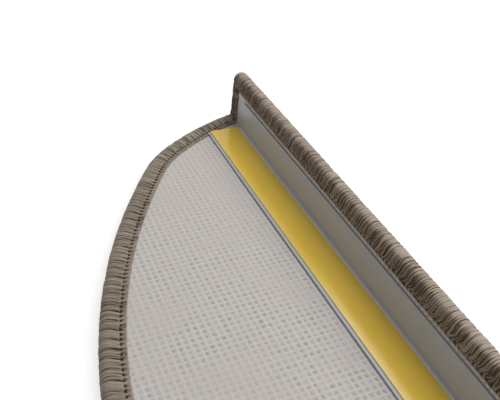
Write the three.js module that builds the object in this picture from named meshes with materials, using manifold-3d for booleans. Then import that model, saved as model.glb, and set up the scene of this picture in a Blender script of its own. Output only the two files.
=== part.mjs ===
// Half-round anti-slip carpet mat for one stair tread, lying on its pile with the backing up, as it is
// handled before it is stuck down. Units are millimetres and +Z is up. The fold runs along X, the round
// side points to -Y and the lip that covers the stair's nosing stands up at +Y.
// The origin is on the floor, in the middle of the mat's footprint.
import * as THREE from "three";
import { mergeVertices } from "three/addons/utils/BufferGeometryUtils.js";
import Module from "manifold-3d";

const wasm = await Module();
wasm.setup();

// Outline of the mat when it is laid out flat, over the yarn edge
const matLength = 432; // over the ends of the lip
const treadDepth = 121.8; // from the fold to the middle of the round side
const shoulderInset = 39.3; // the shoulder is where the short side runs into the long round one
const shoulderDepth = 62;
const shoulderAngle = THREE.MathUtils.degToRad(34.5); // between the outline there and the fold
const foldReach = 7; // how far the outline keeps its direction: where it leaves the fold,
const shortReach = 24; // on the short side of the shoulder,
const longReach = 66; // on its long side,
const middleReach = 68; // and at the middle of the round side
const lipHeight = 36; // from the floor to the top of the standing lip
const foldPinch = 1.2; // each end of the tread side is drawn in by this much,
const pinchRise = 5; // and the lip widens again over this length past the fold

// Carpet
const carpetThickness = 7;
const backingThickness = 1.2;
const pileTuck = 1.5; // how far the yarn edge presses the pile in
const foldRadius = 2; // of the backing, inside the fold
const layerGap = 0.1; // glue line between pile and backing

// Woven ribs of the backing, along the fold
const ribPitch = 2.9;
const ribRelief = 0.4;
const ribRise = 0.35; // share of the pitch where a rib has reached its full height
const ribFall = 0.75; // share of the pitch where it starts to drop again

// Overlocked yarn edge
const bandWidth = 8.3; // that the wraps cover, seen on the backing
const wrapThickness = 1.05;
const wrapGap = 0.15; // between the wraps and the carpet that they hold
const cutInset = 3.2; // the carpet's cut edge, inside the outline
const wrapTaper = 0.35; // the wraps thin out towards the seam
const noseFlat = 0.85; // the edge's nose is a little squarer than a half circle, where this is 1
const bunchPitch = 6.5; // the wraps lie in bunches
const bunchDip = 0.3;
const bunchUneven = 0.25; // share of the dip that changes from bunch to bunch
const bunchBeat = 2.3; // in radians from one bunch to the next
const cornerSpare = 0.7; // the lip's corner is just round enough for the wraps to fan out in it

// Chain of the needle thread, beside the wraps
const stitchPitch = 2.5;
const chainGap = 0.25;
const chainWidth = 2.3;
const chainHeight = 0.2;
const chainLift = 0.1; // between the chain and the backing
const chainPinch = 0.4; // a chain is narrower at every other stitch

// Angle profile in the fold
const treadLeg = 21.1;
const lipLegGap = 1; // between the top of the lip leg and the chain
const profileThickness = 0.65;
const profileInset = 19; // from each end of the mat
const profileCorner = 0.95; // rounding of the angle's outer corner, drawn as one flat,
const profileFillet = 0.5; // and the fillet of its inner corner
const chainClearance = 0.05; // the legs stand on glue strips, just clear of the chain
const glueMargin = 1.2; // the glue stays back from the legs' free edges and ends,
const glueFromFold = 3.2; // and from the fold
const seatGap = 0.05; // between flat faces that lie on each other

// Double-sided tape on the tread leg, and its release liner
const tapeWidth = 16.8;
const tapeMargin = 1.4; // of bare profile along the leg's free edge
const tapeThickness = 0.5;
const linerThickness = 0.12;

// Fineness of the curved surfaces
const treadRows = 22;
const bendRows = 8;
const bendStep = 0.45;
const cornerRows = 5;
const firstRow = 0.3; // the first row lies this far inside the round side
const outlineSamples = 900;
const samePlace = 1e-4; // points closer than this are one point

const half = matLength / 2;
const profileStandoff = chainLift + chainHeight + chainClearance;
const bendLength = (foldRadius * Math.PI) / 2;
const turnEnd = Math.max(bendLength, pinchRise); // the mat is bent and its ends have widened again
const lipOuter = foldRadius + carpetThickness;
const bendStartY = (treadDepth - lipOuter) / 2;
const lipTop = bendLength + lipHeight - carpetThickness - foldRadius;
const lipCorner = bandWidth + cornerSpare;

// Share of the full width that the mat has at a place across the fold.
function widthShare(s) {
  const eased = THREE.MathUtils.smoothstep(s, 0, pinchRise);
  return 1 - (foldPinch / half) * (1 - eased);
}

// The carpet is drawn flat, as (x, s) with s running across the fold, and h is the height above the pile's
// face. This puts such a point in its place on the folded mat.
function folded(flatX, s, h) {
  const x = flatX * widthShare(s);
  const reach = foldRadius + carpetThickness - h;
  const axisZ = carpetThickness + foldRadius;
  if (s <= 0) return [x, bendStartY + s, h];
  if (s >= bendLength) return [x, bendStartY + reach, axisZ + s - bendLength];
  const turn = s / foldRadius;
  return [x, bendStartY + reach * Math.sin(turn), axisZ - reach * Math.cos(turn)];
}

// Closed outline in the flat plane, from the middle of the round side, anticlockwise.
function outlinePath() {
  const shoulder = { x: half - shoulderInset, s: -shoulderDepth };
  const along = { x: Math.cos(shoulderAngle), s: Math.sin(shoulderAngle) };
  const path = new THREE.Path();
  path.moveTo(0, -treadDepth);
  path.bezierCurveTo(
    middleReach,
    -treadDepth,
    shoulder.x - along.x * longReach,
    shoulder.s - along.s * longReach,
    shoulder.x,
    shoulder.s,
  );
  path.bezierCurveTo(
    shoulder.x + along.x * shortReach,
    shoulder.s + along.s * shortReach,
    half,
    -foldReach,
    half,
    0,
  );
  path.lineTo(half, lipTop - lipCorner);
  path.absarc(half - lipCorner, lipTop - lipCorner, lipCorner, 0, Math.PI / 2);
  path.lineTo(lipCorner - half, lipTop);
  path.absarc(lipCorner - half, lipTop - lipCorner, lipCorner, Math.PI / 2, Math.PI);
  path.lineTo(-half, 0);
  path.bezierCurveTo(
    -half,
    -foldReach,
    -shoulder.x - along.x * shortReach,
    shoulder.s + along.s * shortReach,
    -shoulder.x,
    shoulder.s,
  );
  path.bezierCurveTo(
    along.x * longReach - shoulder.x,
    shoulder.s - along.s * longReach,
    -middleReach,
    -treadDepth,
    0,
    -treadDepth,
  );
  return path;
}

const outline = outlinePath();
const outlineLength = outline.getLength();

// A point of the outline and its inward direction, at a distance along it.
function station(distance) {
  const t = distance / outlineLength;
  const point = outline.getPoint(t);
  const tangent = outline.getTangent(t);
  return { x: point.x, s: point.y, inX: -tangent.y, inS: tangent.x };
}

// The right half of the outline moved inwards, from the round side up to the end of the lip's corner.
function insetSide(inset) {
  const side = [];
  for (let i = 0; i <= outlineSamples / 2; i++) {
    const at = station((outlineLength * i) / outlineSamples);
    const moved = { x: at.x + at.inX * inset, s: at.s + at.inS * inset };
    if (!side.length || moved.s > side[side.length - 1].s + samePlace) side.push(moved);
  }
  return side;
}

function halfWidthAt(side, s) {
  const next = side.findIndex((p) => p.s >= s);
  if (next <= 0) return side[next < 0 ? side.length - 1 : 0].x;
  const a = side[next - 1];
  const b = side[next];
  return a.x + ((b.x - a.x) * (s - a.s)) / (b.s - a.s);
}

function solidMesh(positions, index) {
  const geometry = new THREE.BufferGeometry();
  geometry.setAttribute("position", new THREE.Float32BufferAttribute(positions, 3));
  geometry.setIndex(index);
  return geometry;
}

// A closed sheet of the folded mat, made of rows across it. Each row has its place s, and the heights
// of its lower and upper face.
function sheet(side, rows) {
  const positions = rows.flatMap(({ s, low, high }) => {
    const x = halfWidthAt(side, s);
    return [
      ...folded(-x, s, high),
      ...folded(x, s, high),
      ...folded(x, s, low),
      ...folded(-x, s, low),
    ];
  });
  const index = [0, 3, 1, 1, 3, 2];
  for (let row = 0; row < rows.length - 1; row++) {
    for (let corner = 0; corner < 4; corner++) {
      const a = 4 * row + corner;
      const b = 4 * row + ((corner + 1) % 4);
      index.push(a, b, b + 4, a, b + 4, a + 4);
    }
  }
  const last = 4 * (rows.length - 1);
  index.push(last, last + 1, last + 3, last + 1, last + 2, last + 3);
  return solidMesh(positions, index);
}

// Places of the rows of a plain sheet: close together where the outline turns and where the mat bends.
function plainRows(side, low, high) {
  const start = side[0].s + firstRow;
  const end = side[side.length - 1].s;
  const cornerStart = lipTop - lipCorner;
  const places = [];
  for (let i = 0; i <= treadRows; i++) places.push(start - start * (i / treadRows) ** 2);
  for (let i = 1; i <= bendRows; i++) places.push((bendLength * i) / bendRows);
  for (let s = bendLength + bendStep; s < turnEnd + bendStep; s += bendStep) places.push(s);
  for (let i = 0; i <= cornerRows; i++) {
    const turn = ((Math.PI / 2) * i) / cornerRows;
    places.push(cornerStart + (end - cornerStart) * Math.sin(turn));
  }
  return places.map((s) => ({ s, low, high }));
}

function plainSheet(inset, low, high) {
  const side = insetSide(inset);
  return sheet(side, plainRows(side, low, high));
}

// The backing has ribs along the fold on its upper face.
function ribbedSheet(inset, low, high) {
  const side = insetSide(inset);
  const start = side[0].s + firstRow;
  const end = side[side.length - 1].s;
  const valley = high - ribRelief;
  const rows = [];
  for (let s = start; s + ribPitch < end; s += ribPitch) {
    rows.push({ s, low, high: valley });
    rows.push({ s: s + ribRise * ribPitch, low, high });
    rows.push({ s: s + ribFall * ribPitch, low, high });
  }
  rows.push({ s: end, low, high: valley });
  return sheet(side, rows);
}

// A closed ring that follows the outline. Every station has a section of the same number of points,
// each with its distance inwards and its height.
function ring(distances, sectionAt) {
  const sections = distances.map((distance, i) => {
    const at = station(distance);
    return sectionAt(i, distance).map(([inward, h]) =>
      folded(at.x + at.inX * inward, at.s + at.inS * inward, h),
    );
  });
  const count = sections[0].length;
  const index = [];
  for (let i = 0; i < sections.length; i++) {
    const next = (i + 1) % sections.length;
    for (let k = 0; k < count; k++) {
      const a = i * count + k;
      const b = i * count + ((k + 1) % count);
      const c = next * count + k;
      const d = next * count + ((k + 1) % count);
      index.push(a, d, b, a, c, d);
    }
  }
  return solidMesh(sections.flat(2), index);
}

// Distances along the outline at an even pitch, with a finer one where the mat bends.
function ringDistances(pitch, keep) {
  const evenly = (count) => Array.from({ length: count }, (_, i) => (i * outlineLength) / count);
  const atBend = (distance) => {
    const { s } = station(distance);
    return s > -bendStep && s < turnEnd + bendStep;
  };
  const coarse = evenly(2 * Math.round(outlineLength / pitch / 2));
  const fine = evenly(Math.round(outlineLength / bendStep));
  return [...coarse.filter((d) => !atBend(d)), ...fine.filter(atBend)]
    .sort((a, b) => a - b)
    .filter((d) => keep(station(d)));
}

// Section of the wraps: a channel round the carpet's cut edge, with a round nose outside.
function wrapSection(dip) {
  const top = carpetThickness + wrapGap + wrapThickness;
  const nose = top / 2;
  const corner = nose * (1 - Math.SQRT1_2) * noseFlat;
  const innerTop = carpetThickness + wrapGap;
  const innerLow = pileTuck - wrapGap;
  return [
    [bandWidth, wrapTaper],
    [nose, dip],
    [corner + dip, corner + dip],
    [dip, nose],
    [corner + dip, top - corner - dip],
    [nose, top - dip],
    [bandWidth, top - wrapTaper],
    [bandWidth, innerTop],
    [cutInset - wrapGap, innerTop],
    [cutInset - wrapGap, innerLow],
    [bandWidth, innerLow],
  ];
}

function wrapRing() {
  const distances = ringDistances(bunchPitch / 2, () => true);
  return ring(distances, (i, distance) => {
    const bunch = distance / bunchPitch;
    const share = 1 - bunchUneven * (0.5 - 0.5 * Math.sin(bunchBeat * Math.floor(bunch)));
    return wrapSection(bunchDip * share * (0.5 - 0.5 * Math.cos(2 * Math.PI * bunch)));
  });
}

// The chain leaves out the lip's corner, where it turns sharply.
function chainRing() {
  const near = bandWidth + chainGap;
  const far = near + chainWidth;
  const floor = carpetThickness + chainLift;
  const outsideCorner = (at) => lipTop - at.s >= far || half - Math.abs(at.x) >= far;
  return ring(ringDistances(stitchPitch, outsideCorner), (i) => {
    const pinch = i % 2 ? chainPinch : 0;
    return [
      [near + pinch, floor],
      [(near + far) / 2, floor + chainHeight],
      [far - pinch, floor],
    ];
  });
}

function toManifold(geometry) {
  const merged = mergeVertices(geometry, samePlace);
  return new wasm.Manifold(
    new wasm.Mesh({
      numProp: 3,
      vertProperties: merged.attributes.position.array,
      triVerts: new Uint32Array(merged.index.array),
    }),
  );
}

function fromManifold(solid) {
  const { vertProperties, triVerts } = solid.getMesh();
  return solidMesh(Array.from(vertProperties), Array.from(triVerts));
}

// The pile stands full inside the yarn edge and is pressed thin under it.
function pileGeometry() {
  const top = carpetThickness - backingThickness - layerGap;
  const core = plainSheet(cutInset, pileTuck, top);
  const proud = plainSheet(bandWidth + wrapGap * 2, 0, pileTuck + wrapGap);
  return fromManifold(toManifold(core).add(toManifold(proud)));
}

const foldY = bendStartY + foldRadius - profileStandoff - profileThickness; // inner face of the lip leg
const profileBottom = carpetThickness + profileStandoff;
const lipLeg = lipHeight - bandWidth - chainGap - chainWidth - lipLegGap - profileBottom;
const profileLength = matLength - 2 * profileInset;

function profileGeometry() {
  const outerY = foldY + profileThickness;
  const innerZ = profileBottom + profileThickness;
  const section = new THREE.Shape();
  section.moveTo(outerY - treadLeg, profileBottom);
  section.lineTo(outerY - profileCorner, profileBottom);
  section.lineTo(outerY, profileBottom + profileCorner);
  section.lineTo(outerY, profileBottom + lipLeg);
  section.lineTo(foldY, profileBottom + lipLeg);
  section.lineTo(foldY, innerZ + profileFillet);
  section.lineTo(foldY - profileFillet, innerZ);
  section.lineTo(outerY - treadLeg, innerZ);
  section.closePath();
  const geometry = new THREE.ExtrudeGeometry(section, { depth: profileLength, bevelEnabled: false });
  geometry.translate(0, 0, -profileLength / 2);
  // The shape's x and y become the mat's Y and Z, and the extrusion runs along X.
  geometry.applyMatrix4(new THREE.Matrix4().set(0, 0, 1, 0, 1, 0, 0, 0, 0, 1, 0, 0, 0, 0, 0, 1));
  return geometry;
}

// A flat strip along the fold between two places in Y and two in Z.
function strip(length, fromY, toY, fromZ, toZ) {
  const geometry = new THREE.BoxGeometry(length, toY - fromY, toZ - fromZ);
  geometry.translate(0, (fromY + toY) / 2, (fromZ + toZ) / 2);
  return geometry;
}

const treadEdgeY = foldY + profileThickness - treadLeg;
const treadFaceZ = profileBottom + profileThickness;

const finishes = {
  pile: { color: 0x7d7366, roughness: 1 },
  backing: { color: 0xbbb6b2, roughness: 0.95 },
  yarn: { color: 0x7d7366, roughness: 0.95 },
  thread: { color: 0x6e6458, roughness: 0.95 },
  plastic: { color: 0xaaadb5, roughness: 0.35 },
  glue: { color: 0xe6e2d8, roughness: 0.6 },
  tape: { color: 0xd9d4c4, roughness: 0.7 },
  liner: { color: 0xb4943c, roughness: 0.3 },
};

const mat = new THREE.Group();

function addPiece(name, geometry, finish) {
  const plain = geometry.clone();
  plain.deleteAttribute("normal");
  plain.deleteAttribute("uv");
  const finished = mergeVertices(plain, samePlace);
  finished.computeVertexNormals();
  const piece = new THREE.Mesh(finished, new THREE.MeshStandardMaterial({ ...finish, metalness: 0 }));
  piece.name = name;
  mat.add(piece);
}

function addCarpet() {
  const backing = ribbedSheet(cutInset, carpetThickness - backingThickness, carpetThickness);
  addPiece("pile_carpet", pileGeometry(), finishes.pile);
  addPiece("woven_backing", backing, finishes.backing);
  addPiece("overlock_yarn", wrapRing(), finishes.yarn);
  addPiece("needle_thread", chainRing(), finishes.thread);
}

function addProfile() {
  const glueLength = profileLength - 2 * glueMargin;
  const outerY = foldY + profileThickness;
  const treadGlue = strip(
    glueLength,
    treadEdgeY + glueMargin,
    bendStartY - glueFromFold,
    carpetThickness + seatGap,
    profileBottom - seatGap,
  );
  const lipGlue = strip(
    glueLength,
    outerY + seatGap,
    outerY + profileStandoff - seatGap,
    profileBottom + glueFromFold,
    profileBottom + lipLeg - glueMargin,
  );
  addPiece("angle_profile", profileGeometry(), finishes.plastic);
  addPiece("tread_glue_strip", treadGlue, finishes.glue);
  addPiece("lip_glue_strip", lipGlue, finishes.glue);
}

function addTape() {
  const fromY = treadEdgeY + tapeMargin;
  const toY = fromY + tapeWidth;
  const tapeFrom = treadFaceZ + seatGap;
  const linerFrom = tapeFrom + tapeThickness + seatGap;
  const tape = strip(profileLength, fromY, toY, tapeFrom, tapeFrom + tapeThickness);
  const liner = strip(profileLength, fromY, toY, linerFrom, linerFrom + linerThickness);
  addPiece("nosing_tape", tape, finishes.tape);
  addPiece("release_liner", liner, finishes.liner);
}

addCarpet();
addProfile();
addTape();

export default mat;
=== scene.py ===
# The looks of a half-round stair tread mat, lying on its pile with its woven backing up.
# Sizes are in millimetres and become metres where a mesh is made. The mat is worked out flat:
# s runs across the fold, h is the height above the pile's face, and u is a distance inwards from
# the mat's edge. fold() puts points in place.
import math

import bmesh
import bpy
import numpy as np
from mathutils import Matrix, Vector


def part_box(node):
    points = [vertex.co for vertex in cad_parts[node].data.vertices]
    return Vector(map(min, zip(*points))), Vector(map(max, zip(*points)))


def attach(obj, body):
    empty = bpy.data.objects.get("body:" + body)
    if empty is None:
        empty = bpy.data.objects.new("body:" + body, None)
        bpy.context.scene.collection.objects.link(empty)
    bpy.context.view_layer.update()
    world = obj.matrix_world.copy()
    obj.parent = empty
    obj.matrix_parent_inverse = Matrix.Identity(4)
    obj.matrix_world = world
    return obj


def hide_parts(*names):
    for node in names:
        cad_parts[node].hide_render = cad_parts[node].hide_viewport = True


MM = 0.001

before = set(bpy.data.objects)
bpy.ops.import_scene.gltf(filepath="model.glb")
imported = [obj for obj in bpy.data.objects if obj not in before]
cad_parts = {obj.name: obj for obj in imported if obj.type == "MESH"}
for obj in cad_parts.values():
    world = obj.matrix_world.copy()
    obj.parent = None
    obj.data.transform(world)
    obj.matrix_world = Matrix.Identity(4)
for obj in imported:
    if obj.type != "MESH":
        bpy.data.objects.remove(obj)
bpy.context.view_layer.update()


def span(node, axis):
    """Lowest and highest place of a CAD node along an axis, in millimetres."""
    low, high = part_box(node)
    return low[axis] / MM, high[axis] / MM


# Outline of the flat mat, over the yarn edge. A reach is the pull of a curve's handle.
HALF_LENGTH = span("overlock_yarn", 0)[1]
LIP_HEIGHT = span("overlock_yarn", 2)[1]
SHOULDER_INSET = 39.3
SHOULDER_DEPTH = 62
SHOULDER_ANGLE = math.radians(34.5)
FOLD_REACH = 7
SHORT_REACH = 24
LONG_REACH = 66
MIDDLE_REACH = 68
LIP_CORNER = 6
END_PINCH = 1.2
PINCH_RISE = 5

# Carpet
THICKNESS = 7
BACKING_THICKNESS = 1.2
FOLD_RADIUS = 2
OUTER_RADIUS = FOLD_RADIUS + THICKNESS
BEND_START_Y = span("overlock_yarn", 1)[1] - OUTER_RADIUS
TREAD_DEPTH = BEND_START_Y - span("overlock_yarn", 1)[0]
BEND_LENGTH = FOLD_RADIUS * math.pi / 2
LIP_TOP = BEND_LENGTH + LIP_HEIGHT - OUTER_RADIUS
OUTLINE_STEP = 0.25

# Yarn edge. A power rounds the edge, and a lean runs along it.
BAND_WIDTH = 8.3
WRAP_TOP = 8.2
WRAP_MIDDLE = WRAP_TOP / 2
YARN_RADIUS = 0.33
YARN_SIDES = 5
YARN_FLATNESS = 1.2
YARN_SLANT = math.radians(3)
STITCH_PITCH = 2.5
STRANDS = 4
BUNCHES = 150.0
BUNCH_DIP = 0.1
SWAY = 0.2
SWAY_BACK = -0.12
EDGE_POINTS = 9
NOSE_POWER = 2.35
LIP_NOSE_POWER = 2.05
SEAM_END = 8.05
SEAM_LEAN = -0.75
LIP_SEAM_LEAN = -1.6
GATHER = 0.22
FIBRE_RADIUS = 0.16
FIBRE_SLANT = math.radians(10)
FIBRE_SWAY = 0.3
FIBRE_SPACING = 7
LIP_FIBRE_SPACING = 3
FOLD_BULGE = 0.5
BULGE_REACH = 4.5

# Camera, solved from the rows of the weave
IMAGE_WIDTH = 500
FOCAL_PIXELS = 676.05
SENSOR_WIDTH = 36
AIM = (-132.4, 34.56, 7.0)
CAMERA_DISTANCE = 336.2
CAMERA_AZIMUTH = math.radians(62.24)
CAMERA_ELEVATION = math.radians(36.16)
CAMERA_ROLL = math.radians(6.63)


# Geometry of the folded mat


def turn_at(s):
    """Angle that the mat has bent through at the place s."""
    return np.clip(s / FOLD_RADIUS, 0, math.pi / 2)


def width_share(s):
    """Share of the full width: the tread side is drawn in a little, and the lip widens again."""
    rise = np.clip(s / PINCH_RISE, 0, 1)
    return 1 - END_PINCH / HALF_LENGTH * (1 - rise * rise * (3 - 2 * rise))


def fold(x, s, h):
    """Points of the folded mat, as an array of (x, y, z)."""
    x, s, h = np.broadcast_arrays(x, np.asarray(s, float), np.asarray(h, float))
    x = x * width_share(s)
    turn = turn_at(s)
    before = np.minimum(s, 0)
    beyond = np.maximum(s - BEND_LENGTH, 0)
    reach = OUTER_RADIUS - h
    y = BEND_START_Y + before + reach * np.sin(turn)
    z = OUTER_RADIUS - reach * np.cos(turn) + beyond
    return np.stack([x, y, z], axis=-1)


def across_direction(s):
    """The direction of growing s on the folded mat."""
    turn = turn_at(s)
    return np.stack([np.zeros_like(turn), np.cos(turn), np.sin(turn)], axis=-1)


def up_direction(s):
    """The direction of growing h on the folded mat."""
    turn = turn_at(s)
    return np.stack([np.zeros_like(turn), -np.sin(turn), np.cos(turn)], axis=-1)


def bezier(a, b, c, d):
    """Points of a curve at about an even step, without its last one."""
    chord = sum(math.dist(p, q) for p, q in ((a, b), (b, c), (c, d)))
    t = np.linspace(0, 1, int(chord / OUTLINE_STEP), endpoint=False)[:, None]
    a, b, c, d = (np.array(p, float) for p in (a, b, c, d))
    return (1 - t) ** 3 * a + 3 * (1 - t) ** 2 * t * b + 3 * (1 - t) * t**2 * c + t**3 * d


def line(a, b):
    """Points of a straight stretch, without its last one."""
    count = max(2, int(math.dist(a, b) / OUTLINE_STEP))
    t = np.linspace(0, 1, count, endpoint=False)[:, None]
    a, b = np.array(a, float), np.array(b, float)
    return a + t * (b - a)


def outline_right():
    """The right half of the flat outline, from the round side's middle to the lip's middle."""
    shoulder = (HALF_LENGTH - SHOULDER_INSET, -SHOULDER_DEPTH)
    along = (math.cos(SHOULDER_ANGLE), math.sin(SHOULDER_ANGLE))
    before = (shoulder[0] - along[0] * LONG_REACH, shoulder[1] - along[1] * LONG_REACH)
    after = (shoulder[0] + along[0] * SHORT_REACH, shoulder[1] + along[1] * SHORT_REACH)
    corner = (HALF_LENGTH - LIP_CORNER, LIP_TOP - LIP_CORNER)
    corner_count = int(LIP_CORNER * math.pi / 2 / OUTLINE_STEP)
    turn = np.linspace(0, math.pi / 2, corner_count, endpoint=False)
    arc = np.stack([np.cos(turn), np.sin(turn)], axis=-1) * LIP_CORNER + corner
    return np.concatenate(
        [
            bezier((0, -TREAD_DEPTH), (MIDDLE_REACH, -TREAD_DEPTH), before, shoulder),
            bezier(shoulder, after, (HALF_LENGTH, -FOLD_REACH), (HALF_LENGTH, 0)),
            line((HALF_LENGTH, 0), (HALF_LENGTH, corner[1])),
            arc,
            line((corner[0], LIP_TOP), (0, LIP_TOP)),
        ]
    )


def outline():
    """The closed flat outline, anticlockwise, and its inward direction at each point."""
    right = outline_right()
    left = right[:0:-1] * (-1, 1)
    points = np.concatenate([right, [(0, LIP_TOP)], left])
    ahead = np.roll(points, -1, axis=0) - np.roll(points, 1, axis=0)
    ahead /= np.linalg.norm(ahead, axis=1)[:, None]
    return points, np.stack([-ahead[:, 1], ahead[:, 0]], axis=-1)


class Stations:
    """Places along the outline at an even pitch, measured on the folded mat at the height h."""

    def __init__(self, pitch, h=WRAP_MIDDLE, keep=None, group=1):
        points, inward = outline()
        closed = np.concatenate([points, points[:1]])
        closed_inward = np.concatenate([inward, inward[:1]])
        placed = fold(closed[:, 0], closed[:, 1], h)
        gone = np.concatenate([[0], np.cumsum(np.linalg.norm(np.diff(placed, axis=0), axis=1))])
        count = round(gone[-1] / pitch / group) * group
        self.number = np.arange(count)
        at = self.number * gone[-1] / count
        self.x = np.interp(at, gone, closed[:, 0])
        self.s = np.interp(at, gone, closed[:, 1])
        self.in_x = np.interp(at, gone, closed_inward[:, 0])
        self.in_s = np.interp(at, gone, closed_inward[:, 1])
        if keep is not None:
            kept = keep(self)
            for name in ("number", "x", "s", "in_x", "in_s"):
                setattr(self, name, getattr(self, name)[kept])

    def inward(self):
        """The direction away from the edge, on the folded mat."""
        flat = across_direction(self.s) * self.in_s[:, None]
        flat[:, 0] += self.in_x
        return flat

    def up(self):
        return up_direction(self.s)

    def bulge(self):
        """How far the yarn stands up where it is pushed together inside the fold."""
        away = np.maximum(np.maximum(-self.s, self.s - BEND_LENGTH), 0)
        return FOLD_BULGE * np.cos(np.clip(away / BULGE_REACH, 0, 1) * math.pi / 2) ** 2

    def section(self, u, h):
        """A point (u, h) at every station, kept short of the mitre of the lip's corner."""
        widest = HALF_LENGTH - u
        x = np.clip(self.x + self.in_x * u, -widest, widest)
        return fold(x, np.minimum(self.s + self.in_s * u, LIP_TOP - u), h)


# Meshes


def in_scene(name, data):
    """A new object of some data, linked to the scene."""
    made = bpy.data.objects.new(name, data)
    bpy.context.scene.collection.objects.link(made)
    return made


def mesh_object(name, points, faces, material=None):
    """A mesh of points in millimetres."""
    mesh = bpy.data.meshes.new(name)
    corners = [[int(corner) for corner in face] for face in faces]
    mesh.from_pydata((np.asarray(points, float) * MM).tolist(), [], corners)
    mesh.validate()
    if material:
        mesh.materials.append(material)
    return in_scene(name, mesh)


def smooth(obj, angle=None):
    """Smooth shading, with sharp edges above an angle in degrees."""
    obj.data.shade_smooth()
    if angle is not None:
        obj.data.set_sharp_from_angle(angle=math.radians(angle))
    return obj


def give(obj, name, kind, values):
    """Stores a value for each point of a mesh: FLOAT or FLOAT_VECTOR."""
    field = "value" if kind == "FLOAT" else "vector"
    attribute = obj.data.attributes.new(name, kind, "POINT")
    attribute.data.foreach_set(field, np.asarray(values, np.float32).ravel())


def placed_points(name, points, inward, up, stretch=1):
    """Loose points, each with the two directions that an instance on it takes and its height."""
    made = mesh_object(name, points, [])
    give(made, "inward", "FLOAT_VECTOR", inward)
    give(made, "up", "FLOAT_VECTOR", up)
    give(made, "stretch", "FLOAT", np.broadcast_to(stretch, len(points)))
    return made


def path_object(name, points):
    """A curve of straight stretches through points in millimetres."""
    curve = bpy.data.curves.new(name, "CURVE")
    curve.dimensions = "3D"
    spline = curve.splines.new("POLY")
    spline.points.add(len(points) - 1)
    for point, place in zip(spline.points, points):
        point.co = (*(np.array(place) * MM), 1)
    return in_scene(name, curve)


def finished(obj, name, *helpers):
    """The plain mesh that the object's modifiers make, under a new name. The helpers go."""
    bpy.context.view_layer.update()
    evaluated = obj.evaluated_get(bpy.context.evaluated_depsgraph_get())
    mesh = bpy.data.meshes.new_from_object(evaluated)
    mesh.name = name
    made = in_scene(name, mesh)
    for used in (obj, *helpers):
        bpy.data.objects.remove(used)
    return made


def band(row, after, corners):
    """Faces between two rows of a closed section, by the numbers of the rows."""
    faces = []
    for k in range(corners):
        beside = (k + 1) % corners
        near, far = row * corners, after * corners
        faces.append((near + k, near + beside, far + beside, far + k))
    return faces


def ring(name, stations, section, material):
    """A closed ring along the outline with the same section, points (u, h), at every station."""
    rows = np.stack([stations.section(u, h) for u, h in section], axis=1)
    count, corners = rows.shape[:2]
    faces = []
    for row in range(count):
        faces += band(row, (row + 1) % count, corners)
    return mesh_object(name, rows.reshape(-1, 3), faces, material)


def swept(name, rows, material):
    """A closed bar through rows of points, with the same number of corners in each row."""
    count, corners = rows.shape[:2]
    faces = [range(corners)[::-1]]
    for row in range(count - 1):
        faces += band(row, row + 1, corners)
    faces.append(range((count - 1) * corners, count * corners))
    return mesh_object(name, rows.reshape(-1, 3), faces, material)


# Node trees


class Value:
    """A socket of a node tree that takes part in Python arithmetic."""

    def __init__(self, nodes, socket):
        self.nodes = nodes
        self.socket = socket

    def __add__(self, other):
        return self.nodes.math("ADD", self, other)

    def __radd__(self, other):
        return self.nodes.math("ADD", other, self)

    def __sub__(self, other):
        return self.nodes.math("SUBTRACT", self, other)

    def __rsub__(self, other):
        return self.nodes.math("SUBTRACT", other, self)

    def __mul__(self, other):
        return self.nodes.math("MULTIPLY", self, other)

    def __rmul__(self, other):
        return self.nodes.math("MULTIPLY", other, self)


class Nodes:
    """The nodes of one tree, added by calls."""

    def __init__(self, tree):
        self.tree = tree

    def feed(self, node, inputs):
        """Sets or links sockets, each by its number or its name with _ for a space."""
        for key, value in inputs.items():
            socket = node.inputs[key.replace("_", " ") if isinstance(key, str) else key]
            if isinstance(value, Value):
                self.tree.links.new(value.socket, socket)
            else:
                socket.default_value = value

    def node(self, kind, inputs=None, output=0, **settings):
        made = self.tree.nodes.new(kind)
        for name, value in settings.items():
            setattr(made, name, value)
        self.feed(made, inputs or {})
        return Value(self, made.outputs[output])

    def math(self, operation, a, b=0.0):
        return self.node("ShaderNodeMath", {0: a, 1: b}, operation=operation)


# Geometry Nodes


class Grower(Nodes):
    """A Geometry Nodes tree with named inputs, and the modifier that runs it."""

    def __init__(self, name):
        super().__init__(bpy.data.node_groups.new(name, "GeometryNodeTree"))
        self.values = {}
        for way in ("INPUT", "OUTPUT"):
            self.socket("Geometry", "Geometry", way)
        self.entry = self.tree.nodes.new("NodeGroupInput")
        self.exit = self.tree.nodes.new("NodeGroupOutput")

    def socket(self, name, kind, way="INPUT"):
        face = self.tree.interface
        return face.new_socket(name, in_out=way, socket_type="NodeSocket" + kind)

    def given(self, name, kind, value):
        """A named input, with the value that the modifier gives it."""
        self.values[self.socket(name, kind).identifier] = value
        return Value(self, self.entry.outputs[name])

    def attribute(self, name, kind="FLOAT_VECTOR"):
        return self.node("GeometryNodeInputNamedAttribute", {"Name": name}, data_type=kind)

    def random(self, low, high, seed):
        """A number between low and high for each instance."""
        return self.node(
            "FunctionNodeRandomValue", {2: low, 3: high, "Seed": seed}, output=1, data_type="FLOAT"
        )

    def vector(self, x, y, z):
        return self.node("ShaderNodeCombineXYZ", {0: x, 1: y, 2: z})

    def end(self, geometry, material):
        real = self.node("GeometryNodeRealizeInstances", {0: geometry})
        painted = self.node("GeometryNodeSetMaterial", {"Geometry": real, "Material": material})
        self.tree.links.new(painted.socket, self.exit.inputs[0])

    def grow(self, obj):
        modifier = obj.modifiers.new(self.tree.name, "NODES")
        modifier.node_group = self.tree
        for identifier, value in self.values.items():
            modifier[identifier] = value


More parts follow.
